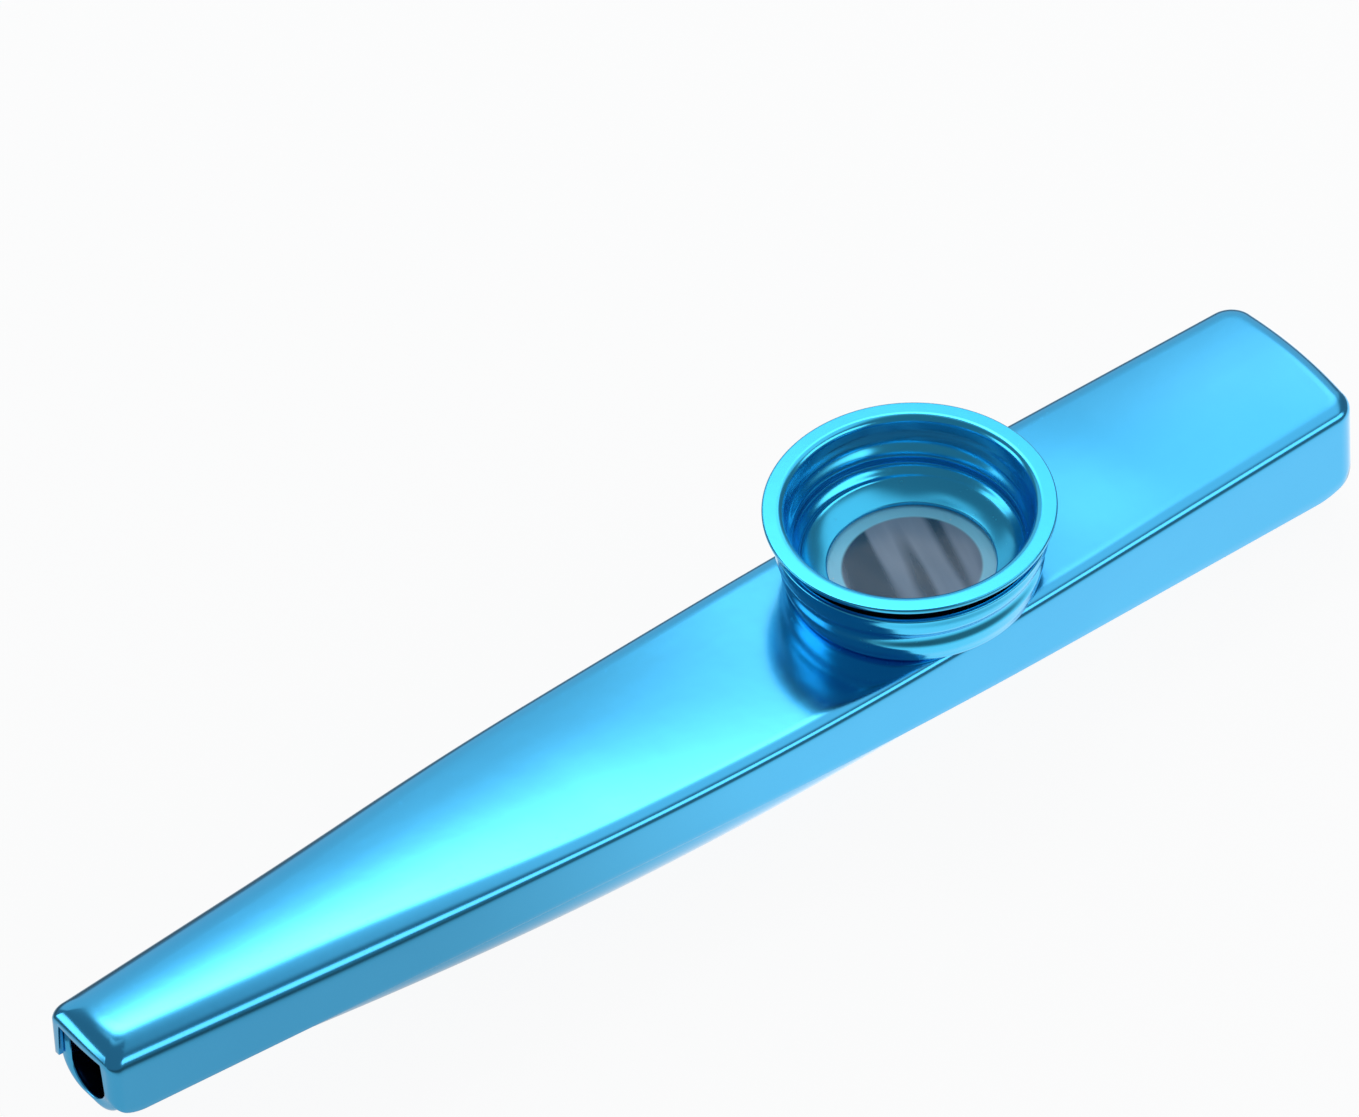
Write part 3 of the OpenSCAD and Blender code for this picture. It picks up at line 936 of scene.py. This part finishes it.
@dataclass(frozen=True)
class Turret:
    """Neck, membrane and screw cap. Heights are above the turret's seat."""

    lines: BodyLines = field(default_factory=BodyLines)
    neck_sheet: float = 0.4
    port_r: float = 5.65
    neck_base_r: float = 10.1
    neck_top_r: float = 11.0
    neck_h: float = 5.55
    neck_bend_r: float = 0.7
    bead_h: float = 0.62
    bead_w: float = 0.9
    flare_w: float = 1.0
    brim_w: float = 0.5
    brim_fall_w: float = 0.55
    end_gap: float = 0.05
    membrane_r: float = 8.6
    film: float = 0.08
    film_gap: float = 0.02
    cap_sheet: float = 0.42
    flange_r: float = 11.6
    cap_h: float = 7.45
    cup_top_r: float = 10.25
    cup_foot_r: float = 9.5
    flange_bend_r: float = 0.6
    cap_hole_r: float = 6.7
    bowl_slope: float = 0.26
    bowl_h: float = 2.9
    bowl_fullness: float = 0.85
    neck_wall_r: float = 9.0
    neck_thread_z: tuple[float, float, float, float] = (0.5, 1.5, 4.7, 5.4)
    cap_wall_r: float = 8.5
    cap_thread_z: tuple[float, float, float, float] = (1.7, 2.5, 5.4, 6.3)
    collar_steps: int = 8
    bend_steps: int = 10
    fall_steps: int = 15
    bowl_steps: int = 29
    film_faces: tuple[float, float] = (0.7, 0.1)
    ripple_r: float = 5.6
    ripple_h: float = 0.012
    ripples: tuple[tuple[float, float, float, float], ...] = (
        (1.0, 1.35, -0.42, 0.0),
        (0.6, 2.3, 0.5, 1.0),
    )
    film_rings: int = 46
    film_segments: int = 128
    thread: RolledThread = field(default_factory=RolledThread)

    @property
    def seat(self) -> tuple[float, float]:
        """X of the turret's axis and height of its seat."""
        return self.lines.turret_at - self.lines.length / 2, self.lines.body_h

    def neck(self) -> TurnedSheet:
        """Neck: flared collar, round bead, floor, and a cup that widens upwards.

        Outside the bead the floor falls as cos^2 to its seat.

        Returns:
            The sheet to turn.
        """
        t = self.neck_sheet / 2
        collar = self.port_r + t
        crest = collar + (self.bead_w - self.neck_sheet) / 2
        brim = crest + self.brim_w
        slope = (self.neck_top_r - self.neck_base_r) / (self.neck_h - self.neck_bend_r)
        lean = math.degrees(math.atan(slope))
        flare_z = -self.lines.sheet - self.end_gap - t
        top = self.bead_h - t
        u = spread(0, 1, self.fall_steps)
        fall_z = t + (top - t) * np.cos(np.pi * u / 2) ** 2
        bend_r = self.neck_bend_r
        path = np.concatenate([
            [[collar + self.flare_w, flare_z]],
            arc((collar + t, flare_z + t), t, 270, 180, self.collar_steps),
            arc((crest, top - (crest - collar)), crest - collar, 180, 90, self.bend_steps),
            [[brim, top]],
            np.stack([brim + self.brim_fall_w * u, fall_z], 1),
            arc((self.neck_base_r - bend_r, bend_r), bend_r - t, 270, 360 - lean, self.bend_steps),
            [[self.neck_top_r - t, self.neck_h]],
        ])
        return TurnedSheet(
            name="turret_neck_cup",
            node="turret_neck",
            body="body",
            centre_line=path,
            sheet=self.neck_sheet,
            thread=self.thread,
            thread_z=self.neck_thread_z,
            wall_from_r=self.neck_wall_r,
            seat=self.seat,
        )

    def cap(self) -> TurnedSheet:
        """Screw cap: bowl with its hole, a cup that widens upwards, and a flange.

        The bowl is the quadratic Bezier curve (1-u)^2 A + 2u(1-u) B + u^2 C
        from the hole's edge A to the wall C, and leaves both along the lines
        that meet in B.

        Returns:
            The sheet to turn.
        """
        t = self.cap_sheet / 2
        half_floor = t / math.cos(math.atan(self.bowl_slope))
        floor_z = self.bead_h + self.film + 2 * self.film_gap + half_floor
        wall_r = self.cup_foot_r - t
        slope = (self.cup_top_r - self.cup_foot_r) / (self.cap_h - self.bowl_h)
        lean = math.degrees(math.atan(slope))
        corner_r = wall_r - slope * (self.bowl_h - floor_z) * self.bowl_fullness
        corner_z = floor_z + self.bowl_slope * (corner_r - self.cap_hole_r)
        u = np.linspace(0, 1, self.bowl_steps + 1)[:, None]
        bowl = (1 - u) ** 2 * [self.cap_hole_r, floor_z]
        bowl = bowl + 2 * u * (1 - u) * [corner_r, corner_z] + u**2 * [wall_r, self.bowl_h]
        bend_r = self.flange_bend_r
        bend_at = (self.cup_top_r + bend_r - self.cap_sheet, self.cap_h - bend_r)
        path = np.concatenate([
            bowl,
            arc(bend_at, bend_r - t, 180 - lean, 90, self.bend_steps),
            [[self.flange_r, self.cap_h - t]],
        ])
        return TurnedSheet(
            name="screw_cap_cup",
            node="screw_cap",
            body="cap",
            centre_line=path,
            sheet=self.cap_sheet,
            thread=self.thread,
            thread_z=self.cap_thread_z,
            wall_from_r=self.cap_wall_r,
            seat=self.seat,
        )

    def membrane(self, material: bpy.types.Material) -> bpy.types.Object:
        """Film disc: two faces and a rim, with faint ripples that fade at the bead.

        The ripple is the sum of h * sin(u x + v y + w) over the rows of
        ripples, times 1 - (r / ripple_r)^2 inside that radius.

        Args:
            material: Finish of the film.

        Returns:
            The finished object.
        """
        r = np.linspace(0, 1, self.film_rings)[:, None] * self.membrane_r
        a = np.linspace(0, 2 * np.pi, self.film_segments, endpoint=False)[None, :]
        x, y = r * np.cos(a), r * np.sin(a)
        ripple = sum(h * np.sin(u * x + v * y + w) for h, u, v, w in self.ripples)
        ripple = np.clip(1 - (r / self.ripple_r) ** 2, 0, 1) * self.ripple_h * ripple
        low = self.seat[1] + self.bead_h + self.film_gap
        top, under = (
            np.stack([self.seat[0] + x, y, low + share * self.film + ripple], -1)
            for share in self.film_faces
        )
        made = SurfaceMesh("membrane_film")
        made.grid(np.concatenate([top, under[::-1]]), wrap_columns=True)
        return made.build("film_disc", "membrane", "film", material)


# Shader maths


class Sock:
    """An output socket of a node tree. Operators on it add Math nodes."""

    def __init__(self, tree: "Tree", socket: bpy.types.NodeSocket | None) -> None:
        """Wraps a socket.

        Args:
            tree: Node tree that the socket belongs to.
            socket: The output socket.
        """
        self.tree = tree
        self.socket = socket

    def math(self, operation: str, *others: "Sock | float", swap: bool = False) -> "Sock":
        """One Math node on this value and the others.

        Args:
            operation: Blender's name of the operation.
            others: The other operands.
            swap: Put this value after the other one.

        Returns:
            The node's result.
        """
        values = [self, *others]
        if swap:
            values.reverse()
        return self.tree.add("ShaderNodeMath", {"operation": operation}, dict(enumerate(values)))

    def __add__(self, other: "Sock | float") -> "Sock":
        """Sum."""
        return self.math("ADD", other)

    __radd__ = __add__

    def __sub__(self, other: "Sock | float") -> "Sock":
        """Difference."""
        return self.math("SUBTRACT", other)

    def __rsub__(self, other: "Sock | float") -> "Sock":
        """Difference, with the number first."""
        return self.math("SUBTRACT", other, swap=True)

    def __mul__(self, other: "Sock | float") -> "Sock":
        """Product."""
        return self.math("MULTIPLY", other)

    __rmul__ = __mul__

    def step(self, low: float, high: float) -> "Sock":
        """Eased step from 0 at low to 1 at high."""
        inputs = {"Value": self, "From Min": low, "From Max": high}
        return self.tree.add("ShaderNodeMapRange", {"interpolation_type": "SMOOTHSTEP"}, inputs)


class Tree:
    """Builds a material's or a world's node tree."""

    def __init__(self, owner: bpy.types.Material | bpy.types.World) -> None:
        """Empties the owner's node tree.

        Args:
            owner: Material or world that the nodes belong to.
        """
        owner.use_nodes = True
        self.nodes = owner.node_tree.nodes
        self.links = owner.node_tree.links
        self.nodes.clear()

    def add(
        self,
        kind: str,
        settings: dict | None = None,
        inputs: dict | None = None,
        output: str | int = 0,
    ) -> Sock:
        """Creates a node: its settings first, then its inputs.

        Args:
            kind: Blender's type name of the node.
            settings: Properties of the node.
            inputs: Values or sockets by input name or number.
            output: Output to hand back.

        Returns:
            The chosen output, or an empty one where the node has none.
        """
        node = self.nodes.new(kind)
        for name, value in (settings or {}).items():
            setattr(node, name, value)
        for name, value in (inputs or {}).items():
            if isinstance(value, Sock):
                self.links.new(value.socket, node.inputs[name])
            else:
                node.inputs[name].default_value = value
        return Sock(self, node.outputs[output] if node.outputs else None)

    def mix(self, share: "Sock | float", first: "Sock | tuple", second: "Sock | tuple") -> Sock:
        """Colour between two others.

        Args:
            share: 0 for the first and 1 for the second.
            first: The first colour.
            second: The second colour.

        Returns:
            The colour.
        """
        a, b = (c if isinstance(c, Sock) else (*c, 1) for c in (first, second))
        return self.add("ShaderNodeMix", {"data_type": "RGBA"}, {0: share, 6: a, 7: b}, output=2)

    def object_point(
        self, offset: tuple = (0, 0, 0), scale: tuple = (1, 1, 1), turn: float = 0
    ) -> Sock:
        """Object coordinates, centred, turned about Z and then scaled.

        Args:
            offset: Point that becomes the origin.
            scale: Factors along the three axes.
            turn: Angle in radians.

        Returns:
            The coordinates.
        """
        point = self.add("ShaderNodeTexCoord", output="Object")
        shift = tuple(-o for o in offset)
        for name, value in (("Location", shift), ("Rotation", (0, 0, turn)), ("Scale", scale)):
            inputs = {"Vector": point, name: value}
            point = self.add("ShaderNodeMapping", {"vector_type": "POINT"}, inputs)
        return point

    def noise(self, point: Sock, scale: float, detail: float = 2, rough: float = 0.5) -> Sock:
        """Smooth noise from 0 to 1."""
        inputs = {"Vector": point, "Scale": scale, "Detail": detail, "Roughness": rough}
        return self.add("ShaderNodeTexNoise", None, inputs)

    def bump(self, height: Sock, distance: float) -> Sock:
        """Normal bent by a height, where 1 stands for the distance."""
        inputs = {"Height": height, "Distance": distance, "Strength": 1.0}
        return self.add("ShaderNodeBump", None, inputs)

    def surface(self, shader: Sock) -> None:
        """Connects the finished shader."""
        self.add("ShaderNodeOutputMaterial", None, {"Surface": shader})


@dataclass(frozen=True)
class Anodised:
    """Dyed anodised aluminium: coloured metal under a thin clear layer.

    The dye varies a little in cloudy patches, the sheet has a faint orange
    peel from pressing and fine grain from polishing along one direction.
    """

    name: str
    colour: tuple[float, float, float]
    deep: tuple[float, float, float]
    roughness: float
    spread: float
    peel: float
    grain: tuple[float, float, float]
    coat: float
    cloud_scale: float = 55.0
    grain_scale: float = 900.0
    peel_scale: float = 420.0
    pit_scale: float = 2600.0
    cloud_range: tuple[float, float] = (0.35, 0.72)
    pit_range: tuple[float, float] = (0.70, 0.78)
    cloud_share: float = 0.5
    grain_share: float = 0.12
    pit_dullness: float = 0.08
    coat_roughness: float = 0.1
    coat_ior: float = 1.6
    relief_mm: float = 0.02

    def material(self) -> bpy.types.Material:
        """Makes the material.

        Returns:
            The finished material.
        """
        made = bpy.data.materials.new(self.name)
        tree = Tree(made)
        point = tree.object_point()
        clouds = tree.noise(point, self.cloud_scale, 3)
        fine = tree.noise(tree.object_point(scale=self.grain), self.grain_scale, 3, 0.6)
        peel = tree.noise(point, self.peel_scale, 2)
        pits = tree.noise(point, self.pit_scale, 1).step(*self.pit_range)
        depth = clouds.step(*self.cloud_range) * self.cloud_share + fine * self.grain_share
        colour = tree.mix(depth, self.colour, self.deep)
        rough = (clouds - 0.5) * self.spread + (fine - 0.5) * self.spread
        rough = rough + pits * self.pit_dullness + self.roughness
        height = peel * self.peel + fine * (self.grain_share * self.peel)
        shader = tree.add("ShaderNodeBsdfPrincipled", None, {
            "Base Color": colour,
            "Metallic": 1.0,
            "Roughness": rough,
            "Coat Weight": self.coat,
            "Coat Roughness": self.coat_roughness,
            "Coat IOR": self.coat_ior,
            "Normal": tree.bump(height, MM * self.relief_mm),
        })
        tree.surface(shader)
        return made


class Metal(Enum):
    """The two anodised finishes: the pressed shells' and the turret's."""

    BODY = Anodised(
        name="body metal",
        colour=(0.055, 0.455, 0.79),
        deep=(0.042, 0.41, 0.75),
        roughness=0.18,
        spread=0.05,
        peel=0.3,
        grain=(0.12, 1, 1),
        coat=0.4,
    )
    TURRET = Anodised(
        name="turret metal",
        colour=(0.055, 0.53, 0.84),
        deep=(0.042, 0.48, 0.80),
        roughness=0.2,
        spread=0.05,
        peel=0.22,
        grain=(1, 1, 0.3),
        coat=0.15,
    )


@dataclass(frozen=True)
class FilmFinish:
    """Thin translucent film: grey, with soft dark streaks and a few dust specks.

    From bead_r outwards, over the neck's bead, it is painted pale blue and made less clear: a
    painted sheen that stands in for the bright blue bead beneath.
    Its patterns are centred on the turret's axis.
    """

    centre_x: float
    bead_r: float = 5.42
    tint: tuple[float, float, float] = (0.36, 0.47, 0.60)
    streak: tuple[float, float, float] = (0.01, 0.09, 0.16)
    bead_sheen: tuple[float, float, float] = (0.32, 0.82, 1.0)
    dust: tuple[float, float, float] = (0.8, 0.82, 0.85)
    bead_edge: float = 0.25
    streak_range: tuple[float, float] = (0.42, 0.57)
    speck_range: tuple[float, float] = (0.79, 0.81)
    streak_share: float = 0.9
    cover: float = 0.5
    haze_cover: float = 0.3
    bead_sheen_cover: float = 0.35
    dust_cover: float = 0.5
    roughness: float = 0.12
    haze_roughness: float = 0.1
    ior: float = 1.45
    streak_turn: float = 17.3
    streak_stretch: tuple[float, float, float] = (1, 0.12, 1)
    streak_scale: float = 380.0
    haze_scale: float = 700.0
    speck_scale: float = 1500.0
    crease_scale: float = 300.0
    crease_mm: float = 0.05

    def material(self) -> bpy.types.Material:
        """Makes the material.

        Returns:
            The finished material.
        """
        made = bpy.data.materials.new("buzzing film")
        tree = Tree(made)
        offset = (self.centre_x * MM, 0, 0)
        turn = math.radians(self.streak_turn)
        slanted = tree.object_point(offset, self.streak_stretch, turn)
        bands = tree.noise(slanted, self.streak_scale, 1, 0.4).step(*self.streak_range)
        haze = tree.noise(slanted, self.haze_scale, 3)
        point = tree.object_point(offset, (1, 1, 0))
        specks = tree.noise(point, self.speck_scale, 1).step(*self.speck_range)
        radius = tree.add("ShaderNodeVectorMath", {"operation": "LENGTH"}, {0: point}, "Value")
        # Over the bead the film is painted pale blue and made almost opaque: a painted sheen for
        # the bright blue bead beneath.
        bead_sheen_mask = radius.step(self.bead_r * MM, (self.bead_r + self.bead_edge) * MM)
        colour = tree.mix(bands * self.streak_share, self.tint, self.streak)
        colour = tree.mix(specks, tree.mix(bead_sheen_mask, colour, self.bead_sheen), self.dust)
        alpha = self.cover + haze * self.haze_cover
        alpha = alpha + bead_sheen_mask * self.bead_sheen_cover + specks * self.dust_cover
        shader = tree.add("ShaderNodeBsdfPrincipled", None, {
            "Base Color": colour,
            "Roughness": self.roughness + haze * self.haze_roughness,
            "IOR": self.ior,
            "Alpha": alpha,
            "Normal": tree.bump(tree.noise(slanted, self.crease_scale, 2), MM * self.crease_mm),
        })
        tree.surface(shader)
        return made


# Studio


@dataclass(frozen=True)
class SoftBox:
    """One soft box of the studio.

    Attributes:
        centre: Where it stands, in millimetres.
        target: Point that it faces.
        size: Its width and height.
        radiance: Radiance of its middle.
        fade: Share of its width and height over which each edge fades.
    """

    centre: tuple[float, float, float]
    target: tuple[float, float, float]
    size: tuple[float, float]
    radiance: float
    fade: tuple[float, float]


class Panel(Enum):
    """The studio's soft boxes."""

    MAIN = SoftBox((117.5, 179, 288), (117.5, 179, 0), (215, 204), 1.3, (0.35, 0.38))
    CORE = SoftBox((92, 174, 286), (92, 174, 0), (184, 116), 3.6, (0.45, 0.45))
    WIDE = SoftBox((255, 200, 288), (255, 200, 0), (160, 200), 1.05, (0.3, 0.4))
    HIGH = SoftBox((10, 110, 288), (10, 110, 0), (110, 170), 0.65, (0.35, 0.35))
    OVER = SoftBox((185, 30, 290), (185, 30, 0), (310, 520), 0.8, (0.25, 0.3))
    BACK = SoftBox((220, 430, 240), (0, 0, 10), (800, 460), 0.5, (0.1, 0.2))
    FRONT = SoftBox((199, -345, 209), (0, 0, 10), (560, 230), 1.8, (0.15, 0.2))
    LEFT = SoftBox((-330, 250, 130), (-55, 0, 10), (300, 260), 2.0, (0.2, 0.12))


@dataclass(frozen=True)
class Studio:
    """Pale floor, soft boxes, world and a camera at the photograph's angle."""

    camera_at: tuple[float, float, float] = (-481.18, -675.30, 853.39)
    azimuth: float = 35.389
    tilt: float = 44.948
    roll: float = -3.207
    focal_px: float = 15157.59
    image_w: float = 1359.0
    sensor: float = 36.0
    world: float = 0.28
    sky_tint: tuple[float, float, float] = (0.72, 0.87, 1.0)
    clip: tuple[float, float] = (0.05, 20.0)
    floor: tuple[float, float, float] = (0.86, 0.87, 0.88)
    mottle_scale: float = 6.0
    mottle_share: float = 0.1
    mottle_shade: float = 0.97
    floor_half: float = 3.0
    pool_x: tuple[float, float] = (-0.03, 0.01)
    pool_y: tuple[float, float] = (0.014, 0.045)
    pool_low: float = 0.7
    pool_gain: float = 0.55
    pool_loss: float = 0.85
    white_share: float = 0.93

    def camera(self) -> None:
        """Camera whose axes follow from azimuth, tilt and roll."""
        th, e, roll = (math.radians(v) for v in (self.azimuth, self.tilt, self.roll))
        right = Vector((math.cos(th), -math.sin(th), 0))
        ahead = Vector((math.sin(th), math.cos(th), 0))
        up = Vector((0, 0, 1))
        forward = math.cos(e) * ahead - math.sin(e) * up
        above = math.sin(e) * ahead + math.cos(e) * up
        r = math.cos(roll) * right + math.sin(roll) * above
        u = math.cos(roll) * above - math.sin(roll) * right
        data = bpy.data.cameras.new("camera")
        data.sensor_fit = "HORIZONTAL"
        data.sensor_width = self.sensor
        data.lens = self.focal_px * self.sensor / self.image_w
        data.clip_start, data.clip_end = self.clip
        camera = bpy.data.objects.new("camera", data)
        turn = Matrix((r, u, -forward)).transposed().to_4x4()
        camera.matrix_world = Matrix.Translation(Vector(self.camera_at) * MM) @ turn
        bpy.context.scene.collection.objects.link(camera)
        bpy.context.scene.camera = camera

    def soft_box(self, panel: Panel) -> None:
        """Rectangular area light: power = radiance * pi * area, less its faded edges.

        Args:
            panel: The soft box to set up.
        """
        box, name = panel.value, panel.name.lower()
        data = bpy.data.lights.new(name, "AREA")
        data.shape = "RECTANGLE"
        data.size, data.size_y = (v * MM for v in box.size)
        data.energy = box.radiance * math.pi * data.size * data.size_y
        tree = Tree(data)
        place = tree.add("ShaderNodeNewGeometry", output="Parametric")
        strength = 1.0
        for axis, fade in zip("XY", box.fade):
            along = tree.add("ShaderNodeSeparateXYZ", None, {"Vector": place}, axis)
            strength = along.step(0, fade) * along.step(1, 1 - fade) * strength
        lamp = tree.add("ShaderNodeEmission", None, {"Strength": strength})
        tree.add("ShaderNodeOutputLight", None, {"Surface": lamp})
        light = bpy.data.objects.new(name, data)
        light.location = Vector(box.centre) * MM
        aim = (Vector(box.target) - Vector(box.centre)).normalized()
        light.rotation_mode = "QUATERNION"
        light.rotation_quaternion = aim.to_track_quat("-Z", "Y")
        bpy.context.scene.collection.objects.link(light)

    def ground(self) -> None:
        """Floor that shows white to the camera and keeps a faint shadow.

        Metal mirrors a painted pool of light in it: a little brighter under the mouth half, where
        pool_low + pool_gain holds, and painted darker away from the kazoo.
        """
        made = bpy.data.materials.new("pale floor")
        tree = Tree(made)
        mottle = tree.noise(tree.object_point(), self.mottle_scale) * self.mottle_share
        colour = tree.mix(mottle, self.floor, tuple(self.mottle_shade * c for c in self.floor))
        matte = tree.add("ShaderNodeBsdfDiffuse", None, {"Color": colour})
        camera, mirrored, through = (
            tree.add("ShaderNodeLightPath", output=f"Is {ray} Ray")
            for ray in ("Camera", "Glossy", "Transmission")
        )
        along, across = (
            tree.add("ShaderNodeSeparateXYZ", None, {"Vector": tree.object_point()}, axis)
            for axis in "XY"
        )
        # Painted pool of light and painted shade, seen only in reflections: brighter towards +X,
        # darker beyond pool_y across.
        pool = along.step(*self.pool_x) * self.pool_gain + self.pool_low
        pool = pool * (1 - across.math("ABSOLUTE").step(*self.pool_y) * self.pool_loss)
        strength = camera + mirrored * pool + through
        white = tree.add("ShaderNodeEmission", None, {"Color": (1, 1, 1, 1), "Strength": strength})
        seen = (camera + mirrored + through) * self.white_share
        tree.surface(tree.add("ShaderNodeMixShader", None, {0: seen, 1: matte, 2: white}))
        half = self.floor_half
        corners = [(-half, -half, 0), (half, -half, 0), (half, half, 0), (-half, half, 0)]
        mesh = bpy.data.meshes.new("floor")
        mesh.from_pydata(corners, [], [(0, 1, 2, 3)])
        mesh.materials.append(made)
        floor = bpy.data.objects.new("floor", mesh)
        bpy.context.scene.collection.objects.link(floor)

    def sky(self) -> None:
        """Even, slightly blue world."""
        world = bpy.data.worlds.new("studio")
        bpy.context.scene.world = world
        tree = Tree(world)
        inputs = {"Color": (*self.sky_tint, 1), "Strength": self.world}
        light = tree.add("ShaderNodeBackground", None, inputs)
        tree.add("ShaderNodeOutputWorld", None, {"Surface": light})

    def build(self) -> None:
        """Sets up the whole studio."""
        self.camera()
        self.ground()
        self.sky()
        for panel in Panel:
            self.soft_box(panel)
        bpy.context.scene.view_settings.view_transform = "Standard"


def main() -> None:
    """Builds the kazoo piece by piece and sets up the studio."""
    logging.basicConfig(level=logging.INFO, format="%(name)s: %(message)s")
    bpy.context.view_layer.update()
    body_metal, turret_metal = (metal.value.material() for metal in Metal)
    lines = BodyLines()
    UpperShell(lines).build(body_metal)
    LowerShell(lines).build(body_metal)
    turret = Turret(lines)
    turret.neck().build(turret_metal)
    turret.cap().build(turret_metal)
    turret.membrane(FilmFinish(turret.seat[0]).material())
    Studio().build()


if __name__ == "__main__":
    main()
